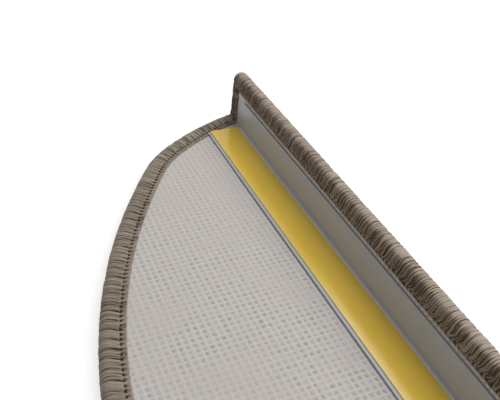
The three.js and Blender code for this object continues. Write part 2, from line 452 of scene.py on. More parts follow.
def placed_copies(tree, copy, turn_z, scale):
    """Copies on the tree's points, standing in their own directions, then turned and scaled."""
    points = Value(tree, tree.entry.outputs["Geometry"])
    stand = tree.node(
        "FunctionNodeAxesToRotation",
        {0: tree.attribute("up"), 1: tree.attribute("inward")},
        primary_axis="Z",
        secondary_axis="X",
    )
    turn = tree.node("FunctionNodeEulerToRotation", {0: tree.vector(0.0, 0.0, turn_z)})
    turned = tree.node("FunctionNodeRotateRotation", {0: stand, 1: turn}, rotation_space="LOCAL")
    return tree.node(
        "GeometryNodeInstanceOnPoints",
        {"Points": points, "Instance": copy, "Rotation": turned, "Scale": scale},
    )


def shaded(tree, instances, shade):
    """Stores a number from 0 to 1 on each copy, that its material reads as shade."""
    return tree.node(
        "GeometryNodeStoreNamedAttribute",
        {"Geometry": instances, "Name": "shade", "Value": shade},
        data_type="FLOAT",
        domain="INSTANCE",
    )


def round_yarn(tree, path, sides, radius):
    """The path as a closed yarn, each point of which stores its share of the way along it."""
    curve = tree.node("GeometryNodeObjectInfo", {0: path}, output="Geometry")
    marked = tree.node(
        "GeometryNodeStoreNamedAttribute",
        {"Geometry": curve, "Name": "along", "Value": tree.node("GeometryNodeSplineParameter")},
        data_type="FLOAT",
        domain="POINT",
    )
    circle = tree.node(
        "GeometryNodeCurvePrimitiveCircle", {"Resolution": sides, "Radius": radius}
    )
    yarn = tree.node(
        "GeometryNodeCurveToMesh", {"Curve": marked, "Profile Curve": circle, "Fill Caps": True}
    )
    return tree.node("GeometryNodeSetShadeSmooth", {"Geometry": yarn})


def strand_tree(
    name,
    path,
    material,
    seed,
    shading,
    spread,
    dip=BUNCH_DIP,
    radius=YARN_RADIUS,
    flatness=YARN_FLATNESS,
    slant=YARN_SLANT,
):
    """Copies of one yarn path along the points. Low strands are dark, a painted shade where they
    lie sunk between the others, and slow waves make bunches.

    Shading is the exponent that turns a strand's rank into its shade, spread is how low the lowest
    strands lie, and dip is how deep the waves are."""
    tree = Grower(name)
    path_in = tree.given("Path", "Object", path)
    radius_in = tree.given("Yarn radius", "Float", radius * MM)
    flat_in = tree.given("Yarn flatness", "Float", flatness)
    sides_in = tree.given("Yarn sides", "Int", YARN_SIDES)
    slant_in = tree.given("Slant", "Float", slant)
    spread_in = tree.given("Height spread", "Float", spread)
    bunch_in = tree.given("Bunches per metre", "Float", BUNCHES)
    dip_in = tree.given("Bunch dip", "Float", dip)
    shading_in = tree.given("Shading", "Float", shading)
    seed_in = tree.given("Seed", "Int", seed)
    material_in = tree.given("Material", "Material", material)
    soft = round_yarn(tree, path_in, sides_in, radius_in)
    turn = tree.random(slant_in * -1.0, slant_in, seed_in)
    place = tree.node("GeometryNodeInputPosition")
    waves = tree.node("ShaderNodeTexNoise", {"Vector": place, "Scale": bunch_in, "Detail": 1.0})
    wave = (waves - 0.5) * dip_in
    rank = tree.random(0.0, 1.0, seed_in + 1.0)
    sunk = tree.math("POWER", 1.0 - rank, 3.0) * spread_in
    tall = (1.0 - sunk + wave) * tree.attribute("stretch", "FLOAT")
    wide = flat_in * tree.random(0.75, 1.25, seed_in + 2.0)
    copies = placed_copies(tree, soft, turn, tree.vector(tall, wide, tall))
    # Painted shade: the rank that sinks a strand also darkens its stored shade.
    tree.end(shaded(tree, copies, tree.math("POWER", rank, shading_in)), material_in)
    return tree


# Materials


class Finish(Nodes):
    """One material, built from a Principled shader and the nodes that its calls add."""

    def __init__(self, name, **sockets):
        self.material = bpy.data.materials.new(name)
        self.material.use_nodes = True
        super().__init__(self.material.node_tree)
        self.shader = self.tree.nodes["Principled BSDF"]
        self.feed(self.shader, sockets)

    def clamp(self, value):
        return self.node("ShaderNodeClamp", {"Value": value})

    def step(self, value, low, high):
        """0 at low and 1 at high, smooth between them and flat beyond them."""
        return self.node(
            "ShaderNodeMapRange",
            {"Value": value, "From_Min": low, "From_Max": high},
            interpolation_type="SMOOTHSTEP",
        )

    def place(self):
        return self.node("ShaderNodeTexCoord", output="Object")

    def stretched(self, scale):
        return self.node("ShaderNodeMapping", {"Vector": self.place(), "Scale": scale})

    def noise(self, scale, detail, vector=None):
        inputs = {"Vector": vector or self.place(), "Scale": scale, "Detail": detail}
        return self.node("ShaderNodeTexNoise", inputs)

    def attribute(self, name):
        return self.node("ShaderNodeAttribute", output="Fac", attribute_name=name)

    def beside(self, value, output):
        """Another output of the node that a value comes from."""
        return Value(self, value.socket.node.outputs[output])

    def blend(self, amount, a, b):
        """The colour a where the amount is 0 and b where it is 1."""
        return self.node("ShaderNodeMix", {0: amount, 6: a, 7: b}, output=2, data_type="RGBA")

    def bump(self, height, strength, distance):
        """Fine relief of a height from 0 to 1, over a distance in millimetres."""
        normal = self.node(
            "ShaderNodeBump", {"Height": height, "Strength": strength, "Distance": distance * MM}
        )
        self.feed(self.shader, {"Normal": normal})

    def set(self, **sockets):
        """Feeds the shader and gives the material."""
        self.feed(self.shader, sockets)
        return self.material


def colour(red, green, blue):
    """An opaque colour."""
    return (red, green, blue, 1)


YARN_DARK = colour(0.1, 0.064, 0.038)
YARN_MIDDLE = colour(0.255, 0.208, 0.16)
YARN_LIGHT = colour(0.385, 0.326, 0.266)
THREAD_LIGHT = colour(0.32, 0.27, 0.218)
# The lip's yarn in painted shade: darker and warmer than the same yarn on the tread, and paler at
# the crest as a painted highlight.
LIP_YARN_SHADED_DARK = colour(0.085, 0.045, 0.023)
LIP_YARN_SHADED_MIDDLE = colour(0.22, 0.162, 0.113)
LIP_YARN_HIGHLIGHT = colour(0.45, 0.38, 0.31)
SEAM_SHADOW = colour(0.035, 0.026, 0.019)
# Painted shade: the yarn's brown darkened, as it shows between the strands.
BED_SHADOWED_BROWN = colour(0.15, 0.112, 0.08)


def yarn_finish(name, shades, sheen=0.35, contrast=0.75, painted_crest_light=0.0):
    """Soft spun yarn: each strand has its own shade, with fine fibres and slow changes of tone.

    Crest paints light: how much paler a strand is at the edge of the mat than at its end on the
    seam, a painted highlight over the crest with painted shade down the side; below zero it paints
    the edge darker than the seam, as painted shade."""
    finish = Finish(name, Roughness=0.9, Sheen_Weight=sheen, Specular_IOR_Level=0.15)
    finish.set(Sheen_Roughness=0.4)
    fibres = finish.noise(3200, 3)
    tone = finish.noise(55, 2)
    rank = finish.attribute("shade")
    along = finish.attribute("along")
    # Painted light: paler over the crest as a painted highlight, darker down the side as painted
    # shade.
    rise = finish.step(along, 0.31, 0.5) - finish.step(along, 0.62, 0.8) * 0.5 - 0.5
    amount = rank * contrast + (fibres - 0.5) * 0.7 + (tone - 0.5) * 0.6 + rise * painted_crest_light
    dark = finish.blend(finish.step(amount, -0.1, 0.3), shades[0], shades[1])
    finish.bump(fibres, 0.6, 0.15)
    return finish.set(Base_Color=finish.blend(finish.step(amount, 0.25, 0.95), dark, shades[2]))


def seam_shadow_finish():
    """The bed under the wraps: a darkened yarn brown, painted shade that shows between the
    strands, with painted shadow in the holes between their ends and the stitches.
    """
    finish = Finish("seam_bed", Roughness=1.0, Specular_IOR_Level=0.05)
    grain = finish.noise(2500, 2)
    hole = finish.blend(grain, SEAM_SHADOW, YARN_DARK)
    return finish.set(Base_Color=finish.blend(finish.attribute("seam"), BED_SHADOWED_BROWN, hole))


BACKING_LIGHT = colour(0.63, 0.605, 0.58)
BACKING_MIDDLE = colour(0.54, 0.505, 0.48)
BACKING_SHADE = colour(0.47, 0.435, 0.41)
BACKING_CELL = colour(0.315, 0.29, 0.272)
# Painted light: paler for the backing standing on the lip, against the shade it lies in.
LIP_BACKING_PAINTED_LIGHT = colour(0.68, 0.635, 0.61)


def backing_finish():
    """A latexed open weave. The UV map counts threads: a whole number is a thread's middle."""
    finish = Finish("latexed_weave", Roughness=0.85, Specular_IOR_Level=0.3)
    threads = finish.node("ShaderNodeUVMap", uv_map="threads")
    split = finish.node("ShaderNodeSeparateXYZ", {0: threads})
    warp = finish.math("PINGPONG", split, 0.5)
    weft = finish.math("PINGPONG", finish.beside(split, 1), 0.5)
    uneven = finish.noise(260, 3)
    latex = finish.noise(900, 3)
    clear = finish.step(finish.noise(38, 2), 0.3, 0.62)
    cell = finish.node("ShaderNodeVectorMath", {0: threads}, operation="FLOOR")
    own = finish.node("ShaderNodeTexWhiteNoise", {"Vector": cell}, noise_dimensions="2D")
    near = finish.math("MINIMUM", warp, weft)
    lines = 1 - finish.step(near + (uneven - 0.5) * 0.32, 0.02, 0.14)
    cells = finish.step(near + (latex - 0.5) * 0.65, 0.12, 0.42)
    halfway = finish.math("PINGPONG", finish.beside(split, 1) * 2 + 0.5, 0.5)
    halfway = halfway + (latex - 0.5) * 0.3
    fine = (1 - finish.step(halfway, 0.03, 0.2)) * finish.step(uneven, 0.42, 0.58)
    inset = finish.attribute("inset") + uneven * 6
    smear = finish.step(inset, 15.5, 12.5) * 0.7
    run = finish.node("ShaderNodeSeparateXYZ", {0: finish.place()})
    thick_end = 1 - finish.step(run, -0.05, -0.2) * 0.4
    open_weave = (1 - smear) * (0.35 + clear * 0.65) * thick_end
    # Painted light: the backing standing up on the lip is painted paler than on the tread.
    standing = finish.step(finish.beside(run, 2), 11 * MM, 17 * MM)
    ground = finish.blend(latex, BACKING_SHADE, BACKING_MIDDLE)
    ground = finish.blend(standing, ground, LIP_BACKING_PAINTED_LIGHT)
    hole = cells * open_weave * (0.22 + own * 0.7) * (1 - fine * 0.55)
    filled = finish.blend(hole, ground, BACKING_CELL)
    finish.bump(lines * open_weave * 0.5 - hole * 0.4 + latex * 0.5, 0.5, 0.3)
    thread = finish.math("MAXIMUM", lines, fine * 0.5) * open_weave * (0.1 + uneven * 1.2)
    return finish.set(Base_Color=finish.blend(thread, filled, BACKING_LIGHT))


def pile_finish():
    """Cut pile in the yarn's colour, darker down between the tufts."""
    finish = Finish("cut_pile", Roughness=1.0, Sheen_Weight=0.3, Specular_IOR_Level=0.1)
    fibres = finish.noise(2600, 3)
    tone = finish.noise(60, 2)
    amount = finish.attribute("shade") * 0.5 + fibres * 0.7 + tone * 0.4 - 0.35
    mixed = finish.blend(finish.clamp(amount), YARN_DARK, YARN_LIGHT)
    finish.bump(fibres, 0.8, 0.3)
    return finish.set(Base_Color=mixed)


PLASTIC_DARK = colour(0.405, 0.42, 0.45)
PLASTIC_LIGHT = colour(0.465, 0.48, 0.505)
# Painted warm reflection of the yellow liner near the angle's inner corner.
PLASTIC_LINER_REFLECTION = colour(0.6, 0.555, 0.5)
# Painted light: a pale strip along the bend beside the liner.
PLASTIC_PAINTED_LIGHT = colour(0.82, 0.8, 0.83)
LINER_REFLECTION_SHARE = 0.35
BEND_LIGHT_SHARE = 0.9


def plastic_finish():
    """Extruded light grey plastic with faint draw lines. Near the inner corner it carries a
    painted warm reflection of the yellow liner, and along the bend beside the liner a paler
    painted strip of light.
    """
    finish = Finish("grey_plastic", Specular_IOR_Level=0.4)
    lines = finish.noise(1, 2, finish.stretched((6, 900, 900)))
    cloud = finish.noise(30, 2)
    base = finish.blend(lines * 0.5 + cloud * 0.5, PLASTIC_DARK, PLASTIC_LIGHT)
    bend = (0, (span("release_liner", 1)[1] + 0.45) * MM, span("nosing_tape", 2)[0] * MM)
    section = finish.stretched((0, 1, 1))
    away = finish.node(
        "ShaderNodeVectorMath", {0: section, 1: bend}, output=1, operation="DISTANCE"
    )
    # Painted reflection of the yellow liner, fading away from the corner.
    painted_reflection = LINER_REFLECTION_SHARE - finish.step(away, 1 * MM, 9 * MM) * LINER_REFLECTION_SHARE
    # Painted light: a pale strip right beside the liner's edge in the bend.
    pale = BEND_LIGHT_SHARE - finish.step(away, 0.5 * MM, 1.4 * MM) * BEND_LIGHT_SHARE
    base = finish.blend(pale, finish.blend(painted_reflection, base, PLASTIC_LINER_REFLECTION), PLASTIC_PAINTED_LIGHT)
    finish.bump(lines, 0.05, 0.05)
    return finish.set(Base_Color=base, Roughness=0.3 + cloud * 0.08)


LINER_DEEP = colour(0.69, 0.45, 0.042)
LINER_LIGHT = colour(0.79, 0.55, 0.08)


def liner_finish():
    """Siliconed yellow release paper."""
    finish = Finish("release_paper", Specular_IOR_Level=0.5)
    cloud = finish.noise(14, 3)
    fibres = finish.noise(1, 3, finish.stretched((350, 1200, 1200)))
    amount = cloud * 0.6 + fibres * 0.4
    base = finish.blend(amount, LINER_DEEP, LINER_LIGHT)
    finish.bump(fibres, 0.12, 0.06)
    return finish.set(Base_Color=base, Roughness=0.13 + cloud * 0.06)


TAPE_DEEP = colour(0.83, 0.8, 0.7)
TAPE_LIGHT = colour(0.9, 0.88, 0.81)
GLUE_DEEP = colour(0.7, 0.67, 0.6)
GLUE_LIGHT = colour(0.82, 0.8, 0.74)


def tape_finish():
    """Off-white foam tape, which shows at its edges."""
    finish = Finish("foam_tape", Roughness=0.7)
    cells = finish.noise(1800, 2)
    finish.bump(cells, 0.3, 0.1)
    return finish.set(Base_Color=finish.blend(cells, TAPE_DEEP, TAPE_LIGHT))


def glue_finish():
    """Pale hot-melt glue."""
    finish = Finish("melted_glue", Roughness=0.45)
    ripples = finish.noise(220, 2)
    finish.bump(ripples, 0.4, 0.3)
    return finish.set(Base_Color=finish.blend(ripples, GLUE_DEEP, GLUE_LIGHT))


WHITE = colour(1, 1, 1)
FLOOR_GREY = colour(0.8, 0.8, 0.8)
FLOOR_GLOW = 1.3
FLOOR_GLOW_SHARE = 0.55


def floor_finish():
    """Pale floor that the camera sees as white, with the object's shadow kept."""
    finish = Finish(
        "pale_floor", Base_Color=FLOOR_GREY, Roughness=0.9, Specular_IOR_Level=0.0
    )
    seen = finish.node("ShaderNodeLightPath", output="Is Camera Ray")
    glossy = finish.node("ShaderNodeLightPath", output="Is Glossy Ray")
    glow = finish.node("ShaderNodeEmission", {"Color": WHITE, "Strength": FLOOR_GLOW})
    share = finish.clamp(seen + glossy) * FLOOR_GLOW_SHARE
    shader = Value(finish, finish.shader.outputs[0])
    mixed = finish.node("ShaderNodeMixShader", {0: share, 1: shader, 2: glow})
    output = finish.tree.nodes["Material Output"]
    finish.tree.links.new(mixed.socket, output.inputs[0])
    return finish.material


# Pieces


def width_at(s, right):
    """Half the width at the place s, inside the right half of an outline."""
    order = np.argsort(right[:, 1], kind="stable")
    return np.interp(s, right[order, 1], right[order, 0])


THREAD_X = 2.74
THREAD_S = 2.9
THREAD_STEPS = 3
BACKING_EDGE = 5.6
THREAD_RELIEF = 0.25
BEND_CELLS = 2
OUTLINE_SKIP = 8


def backing_rows():
    """Places of the weave's rows: even on the tread and the lip, closer together in the bend."""
    tread = -np.arange(int(TREAD_DEPTH / THREAD_S), 0, -1) * THREAD_S
    bend = np.arange(BEND_CELLS) * BEND_LENGTH / BEND_CELLS
    lip = BEND_LENGTH + np.arange(int((LIP_TOP - BEND_LENGTH) / THREAD_S) + 1) * THREAD_S
    return np.concatenate([tread, bend, lip])


def between(rows):
    """The rows with finer ones between them."""
    places = np.arange((len(rows) - 1) * THREAD_STEPS + 1) / THREAD_STEPS
    return np.interp(places, np.arange(len(rows)), rows)


def between_columns(values):
    """Values of each coarse column, run on to the finer ones between them."""
    places = np.arange((len(values) - 1) * THREAD_STEPS + 1) / THREAD_STEPS
    low = np.minimum(places.astype(int), len(values) - 2)
    share = (places - low)[:, None]
    return values[low] * (1 - share) + values[low + 1] * share


def weave_height(i, j, rng):
    """Relief of the weave at its lattice points: high on the threads, uneven, low in the cells."""
    on_warp = i % THREAD_STEPS == 0
    on_weft = j % THREAD_STEPS == 0
    over = (i // THREAD_STEPS + j // THREAD_STEPS) % 2
    height = np.zeros(i.shape)
    height[on_warp] = 0.75
    height[on_weft] = 0.85
    height[on_warp & on_weft] = 0.8 + 0.2 * over[on_warp & on_weft]
    return height + rng.normal(0, 0.09, i.shape)


def woven_backing(material):
    """The backing as one closed sheet: a fine relief of threads above, plain below."""
    rng = np.random.default_rng(11)
    coarse_s = backing_rows()
    fine_s = between(coarse_s)
    columns = int(HALF_LENGTH / THREAD_X)
    coarse_x = np.arange(-columns, columns + 1) * THREAD_X
    fine_x = between(coarse_x)
    i, j = np.meshgrid(np.arange(len(fine_x)), np.arange(len(fine_s)), indexing="ij")
    x = fine_x[i]
    s = fine_s[j]
    inset = inset_of(x, s)
    warp_phase = rng.uniform(0, 2 * math.pi, len(coarse_x))
    weft_phase = rng.uniform(0, 2 * math.pi, len(coarse_s))
    warp_stray = 0.2 * np.sin(fine_s[None, :] / 13 + warp_phase[:, None])
    weft_stray = 0.2 * np.sin(fine_x[:, None] / 15 + weft_phase[None, :])
    wander = 0.28 * np.sin(s / 31 + x / 83) + between_columns(warp_stray)
    drift = 0.3 * np.sin(x / 47 + 1.0) + between_columns(weft_stray.T).T
    drift = drift * np.clip(-s / 20, 0, 1)
    relief = weave_height(i, j, rng) * THREAD_RELIEF
    top = fold(x + wander, s + drift, THICKNESS - THREAD_RELIEF * 1.2 + relief)
    centre_x = (coarse_x[:-1] + coarse_x[1:]) / 2
    centre_s = (coarse_s[:-1] + coarse_s[1:]) / 2
    held = inset_of(centre_x[:, None], centre_s[None, :]) > BACKING_EDGE
    return closed_weave(top, (x, s, inset), (wander, drift), held, material)


def closed_weave(top, flat, shift, held, material):
    """Joins the relief above and plain cells below into one closed sheet, over the held cells."""
    x, s, inset = flat
    steps = THREAD_STEPS
    high = np.arange(x.size).reshape(x.shape)
    low_x = (x + shift[0])[::steps, ::steps]
    low_s = (s + shift[1])[::steps, ::steps]
    bottom = fold(low_x, low_s, THICKNESS - BACKING_THICKNESS)
    low = x.size + np.arange(low_x.size).reshape(low_x.shape)
    faces = []
    for a, b in zip(*np.nonzero(held)):
        for i in range(a * steps, (a + 1) * steps):
            for j in range(b * steps, (b + 1) * steps):
                faces.append((high[i, j], high[i + 1, j], high[i + 1, j + 1], high[i, j + 1]))
        faces.append((low[a, b], low[a, b + 1], low[a + 1, b + 1], low[a + 1, b]))
        faces.extend(rim(held, a, b, high, low, steps))
    points = np.concatenate([top.reshape(-1, 3), bottom.reshape(-1, 3)])
    sheet = mesh_object("backing_weave", points, faces, material)
    give(sheet, "inset", "FLOAT", np.concatenate([inset.ravel(), inset[::steps, ::steps].ravel()]))
    lattice = np.meshgrid(np.arange(x.shape[0]), np.arange(x.shape[1]), indexing="ij")
    count = [np.concatenate([n.ravel(), n[::steps, ::steps].ravel()]) / steps for n in lattice]
    layer = sheet.data.uv_layers.new(name="threads")
    corner = np.empty(len(sheet.data.loops), int)
    sheet.data.loops.foreach_get("vertex_index", corner)
    places = np.stack([number[corner] for number in count], axis=-1)
    layer.data.foreach_set("uv", places.astype(np.float32).ravel())
    drop_loose_points(sheet)
    return smooth(sheet, 60)


def rim(held, a, b, high, low, steps):
    """Walls of one cell on the sides where no held cell lies beside it."""
    wide, deep = held.shape
    i, j = a * steps, b * steps
    run = np.arange(steps + 1)
    walls = []
    if b == 0 or not held[a, b - 1]:
        walls.append([*high[i + run[::-1], j], low[a, b], low[a + 1, b]])
    if b == deep - 1 or not held[a, b + 1]:
        walls.append([*high[i + run, j + steps], low[a + 1, b + 1], low[a, b + 1]])
    if a == 0 or not held[a - 1, b]:
        walls.append([*high[i, j + run], low[a, b + 1], low[a, b]])
    if a == wide - 1 or not held[a + 1, b]:
        walls.append([*high[i + steps, j + run[::-1]], low[a + 1, b], low[a + 1, b + 1]])
    return walls


def inset_of(x, s):
    """How far flat points lie inside the outline, by every eighth of its points."""
    x, s = np.broadcast_arrays(np.asarray(x, float), np.asarray(s, float))
    beside = width_at(s, outline_right()) - np.abs(x)
    place = np.stack([x.ravel(), s.ravel()], axis=-1)
    best = np.full(len(place), np.inf)
    for point in outline()[0][::OUTLINE_SKIP]:
        gap = place - point
        best = np.minimum(best, gap[:, 0] ** 2 + gap[:, 1] ** 2)
    inside = (beside > 0) & (s > -TREAD_DEPTH) & (s < LIP_TOP)
    return np.where(inside, np.sqrt(best).reshape(x.shape), -1)


def drop_loose_points(obj):
    """Deletes the points that no face uses."""
    made = bmesh.new()
    made.from_mesh(obj.data)
    loose = [v for v in made.verts if not v.link_faces]
    bmesh.ops.delete(made, geom=loose, context="VERTS")
    made.to_mesh(obj.data)
    made.free()


def joined(name, pieces):
    """One object of several, under a new name."""
    first = pieces[0]
    with bpy.context.temp_override(active_object=first, selected_editable_objects=pieces):
        bpy.ops.object.join()
    first.name = name
    first.data.name = name
    return first


def round_edge(reach, power):
    """Points (u, h) around the middle of the wraps. A power of 2 is a half circle."""
    points = []
    for turn in np.linspace(math.pi / 2, -math.pi / 2, EDGE_POINTS):
        out = reach * abs(math.cos(turn)) ** (2 / power)
        side = reach * math.copysign(abs(math.sin(turn)) ** (2 / power), math.sin(turn))
        points.append((WRAP_MIDDLE - out, WRAP_MIDDLE + side))
    return points


def wrap_path(strand, wave, power, seam_lean, drop):
    """Middle line of one strand of a wrap, from the seam on the backing over the edge to the pile.

    Each point has a lean along the edge, a share of the pull towards the needle hole, and a share
    of the wave. Drop is how far the yarn is pulled down beside the seam."""
    high = WRAP_TOP - YARN_RADIUS
    top = [
        (SEAM_END, 7.25 - drop),
        (7.85, high - 0.05 - drop),
        (7.1, high + 0.05 - drop),
        (5.7, high - drop / 3),
    ]
    below = [(6.3, YARN_RADIUS + 0.04), (7.9, YARN_RADIUS + 0.3), (SEAM_END, 1.4)]
    path = [*top, *round_edge(WRAP_MIDDLE - YARN_RADIUS, power), *below]
    top_lean = seam_lean * np.array([1, 0.93, 0.75, 0.38])
    lean = [*top_lean, *np.linspace(0, 0.2, EDGE_POINTS), 0.3, 0.4, 0.5]
    gather = [1, 0.95, 0.75, 0.45, 0.2, 0.08, *([0] * (EDGE_POINTS - 2)), 0.35, 0.8, 1]
    bow = [0, 0.2, 0.6, 1, *np.cos(np.linspace(0.3, math.pi, EDGE_POINTS)), -0.6, -0.3, 0]
    squeeze = strand * STITCH_PITCH / STRANDS * GATHER
    return [
        (u - WRAP_MIDDLE, y + squeeze * close + wave * sway, h - WRAP_MIDDLE)
        for (u, h), y, close, sway in zip(path, lean, gather, bow)
    ]


def strand_stations(every, first, within):
    """The places of every so many strands, within one stretch of the edge."""
    return Stations(
        STITCH_PITCH / STRANDS,
        keep=lambda places: (places.number % every == first) & within(places),
        group=2 * STRANDS,
    )


def on_tread(places):
    return places.s < 0


def on_lip(places):
    return places.s >= 0


def yarn_wraps(name, material, within, power, seam_lean, drop, spread, shading, fibre_spacing):
    """The wraps of one stretch of the edge. Every second stitch sways the other way.

    Shading holds the exponents of the light strands, of the dark ones between them, darkened as
    painted shade in the slits, and of the loose fibres."""
    made = []
    for place in range(2 * STRANDS):
        strand = place % STRANDS - (STRANDS - 1) / 2
        wave = SWAY if place < STRANDS else SWAY_BACK
        path = path_object("wrap_path", wrap_path(strand, wave, power, seam_lean, drop))
        seed = 7 + 10 * place
        tree = strand_tree("wraps", path, material, seed, shading[place % 2], spread)
        made.append(wrapped(name, tree, strand_stations(2 * STRANDS, place, within), path))
    path = path_object(
        "fibre_path", wrap_path(0, FIBRE_SWAY, power, seam_lean, drop - FIBRE_RADIUS)
    )
    tree = strand_tree(
        "fibres",
        path,
        material,
        seed=97,
        shading=shading[2],
        spread=0.05,
        radius=FIBRE_RADIUS,
        flatness=1.0,
        slant=FIBRE_SLANT,
    )
    made.append(wrapped(name, tree, strand_stations(fibre_spacing, 2, within), path))
    return joined(name, made)


def wrapped(name, tree, stations, path):
    """Copies of a path over the edge, stretched where the yarn is pushed together."""
    bulge = stations.bulge()
    centre = stations.section(WRAP_MIDDLE, WRAP_MIDDLE + bulge / 2)
    stretch = 1 + bulge / WRAP_TOP
    points = placed_points("wrap_points", centre, stations.inward(), stations.up(), stretch)
    tree.grow(points)
    return finished(points, name, path)


BED_PITCH = 1.5
BED_SINK = 1.9
CHAIN_PITCH = 0.55
CHAIN_NEAR = 8.95
CHAIN_FAR = 10.85
LIP_CHAIN_NEAR = 8.75
LIP_CHAIN_FAR = 9.3
CHAIN_TOP = 7.42
CHAIN_FOOT = 7.0
STITCH_RADIUS = 0.46
STITCH_FLATNESS = 1.3
STITCH_MIDDLE = (9, 7)


def yarn_bed(material):
    """The bed under the wraps and the needle holes, dark with painted shade, which closes the
    carpet's cut edge.
    """
    stations = Stations(BED_PITCH)
    border = chain_border(stations, CHAIN_FAR - 1.25, LIP_CHAIN_FAR - 0.3)
    above = [(border, 7.04), (border - 0.3, 7.12), (8.2, 7.16), (7.5, 7.23)]
    below = [(8.3, 0.95), (8.3, 1.3), (3.0, 1.3), (3.0, 7.02), (border, 7.02)]
    shape = [*above, *round_edge(WRAP_MIDDLE - BED_SINK * YARN_RADIUS, NOSE_POWER), *below]
    lift = stations.bulge() * 0.8
    section = [(u, h + lift * max(h / WRAP_MIDDLE - 1, 0)) for u, h in shape]
    bed = ring("yarn_bed", stations, section, material)
    # The points by the seam take the painted shadow of the needle holes.
    seam = [1, 1, 1, *([0] * (len(shape) - 3))]
    give(bed, "seam", "FLOAT", np.tile(seam, len(stations.x)))
    return smooth(bed, 50)


def clear_of_corner(stations):
    """True where the chain is sewn: it leaves out the lip's corner."""
    return (LIP_TOP - stations.s >= CHAIN_FAR) | (HALF_LENGTH - np.abs(stations.x) >= CHAIN_FAR)


def chain_border(stations, tread, lip):
    """A border of the chain, which is pulled narrow on the lip."""
    share = np.clip(stations.s / BEND_LENGTH, 0, 1)
    return tread + (lip - tread) * share


def chain_body(material):
    """The matted thread of the chain, a low strip with a ragged outer border."""
    rng = np.random.default_rng(23)
    stations = Stations(CHAIN_PITCH, h=THICKNESS, keep=clear_of_corner)
    count = len(stations.x)
    ragged = rng.normal(0, 0.1, count) + 0.12 * np.sin(np.arange(count) * 1.38)
    rise = rng.normal(0, 0.04, count)
    near = chain_border(stations, CHAIN_NEAR, LIP_CHAIN_NEAR)
    border = chain_border(stations, CHAIN_FAR, LIP_CHAIN_FAR)
    border = border + ragged * chain_border(stations, 1, 0.3)
    width = border - near
    section = [
        (border, CHAIN_FOOT),
        (border - 0.05 * width, CHAIN_TOP - 0.2),
        (border - 0.3 * width, CHAIN_TOP - 0.03 + rise),
        (near + 0.3 * width, CHAIN_TOP + rise),
        (near + 0.05 * width, CHAIN_TOP - 0.15 + rise),
        (near, CHAIN_FOOT),
    ]
    strip = ring("chain_strip", stations, section, material)
    give(strip, "shade", "FLOAT", rng.uniform(0.3, 0.7, len(strip.data.vertices)))
    return smooth(strip, 80)


def stitch_path(near, far, seam_lean):
    """One stitch: it crosses between the needle holes and loops back on the chain."""
    across = [(-1.5, -0.1, 7.4), (-1.0, 0.0, 7.62), (-0.5, 0.0, 7.64), (0.1, 0.05, 7.5)]
    loop = [(0.55, 0.4, 7.4), (0.8, 0.9, 7.36), (0.65, 1.5, 7.36), (0.3, 1.8, 7.38)]
    loop.append((0.1, 2.1, 7.2))
    path = [(near + u, y, h) for u, y, h in across]
    path += [(near + share * (far - near), y, h) for share, y, h in loop]
    shift = seam_lean + STITCH_PITCH / STRANDS / 2
    return [(u - STITCH_MIDDLE[0], y + shift, h - STITCH_MIDDLE[1]) for u, y, h in path]


def seam_stitches(material):
    """The stitches of the needle thread, shorter on the lip."""
    made = []
    stretches = (
        (False, CHAIN_NEAR, CHAIN_FAR, SEAM_LEAN),
        (True, LIP_CHAIN_NEAR, LIP_CHAIN_FAR, LIP_SEAM_LEAN),
    )
    for past_fold, near, far, seam_lean in stretches:
        stations = strand_stations(
            STRANDS,
            STRANDS // 2,
            lambda places: clear_of_corner(places) & ((places.s > 0) == past_fold),
        )
        middles = stations.section(*STITCH_MIDDLE)
        points = placed_points("stitch_points", middles, stations.inward(), stations.up())
        path = path_object("stitch_path", stitch_path(near, far, seam_lean))
        tree = strand_tree(
            "stitches",
            path,
            material,
            seed=71,
            shading=0.6,
            spread=0.04,
            dip=0.04,
            radius=STITCH_RADIUS,
            flatness=STITCH_FLATNESS,
        )
        tree.grow(points)
        made.append(finished(points, "seam_stitches", path))
    return joined("seam_stitches", made)


TUFT_PITCH = 2.2
TUFT_TOP = 1.5
TUFT_RADIUS = TUFT_PITCH * 0.56
TUFT_JITTER = 0.4


def tuft_shape():
    """A low-sided tuft, 1 mm in radius and height, with its foot at the origin."""
    sides = 5
    turn = np.arange(sides) * 2 * math.pi / sides
    ring_low = np.stack([1.1 * np.cos(turn), 1.1 * np.sin(turn), 0 * turn], axis=-1)
    ring_high = np.stack([0.85 * np.cos(turn), 0.85 * np.sin(turn), 0 * turn + 0.68], axis=-1)
    points = np.concatenate([ring_low, ring_high, [(0, 0, 1)]])
    faces = [(k, (k + 1) % sides, sides + (k + 1) % sides, sides + k) for k in range(sides)]
    faces += [(sides + k, sides + (k + 1) % sides, 2 * sides) for k in range(sides)]
    return mesh_object("tuft_shape", points, faces)


def tuft_places(rng):
    """Flat places of the tufts: rows at an even pitch on the pile's face, jittered."""
    tread = np.arange(-TREAD_DEPTH, 0, TUFT_PITCH)
    bend_count = round(OUTER_RADIUS * math.pi / 2 / TUFT_PITCH)
    bend = (np.arange(bend_count) + 0.5) * BEND_LENGTH / bend_count
    lip = np.arange(BEND_LENGTH + TUFT_PITCH / 2, LIP_TOP, TUFT_PITCH)
    rows = np.concatenate([tread, bend, lip])
    squeeze = np.where((rows > 0) & (rows < BEND_LENGTH), FOLD_RADIUS / OUTER_RADIUS, 1)
    columns = np.arange(-HALF_LENGTH, HALF_LENGTH, TUFT_PITCH)
    x, s = np.meshgrid(columns, rows, indexing="ij")
    x = x + TUFT_PITCH / 2 * (np.arange(len(rows)) % 2)[None, :]
    x = x + rng.uniform(-TUFT_JITTER, TUFT_JITTER, x.shape)
    s = s + rng.uniform(-TUFT_JITTER, TUFT_JITTER, s.shape) * squeeze[None, :]
    held = inset_of(x, s) > BAND_WIDTH - 0.4
    return x[held], s[held]


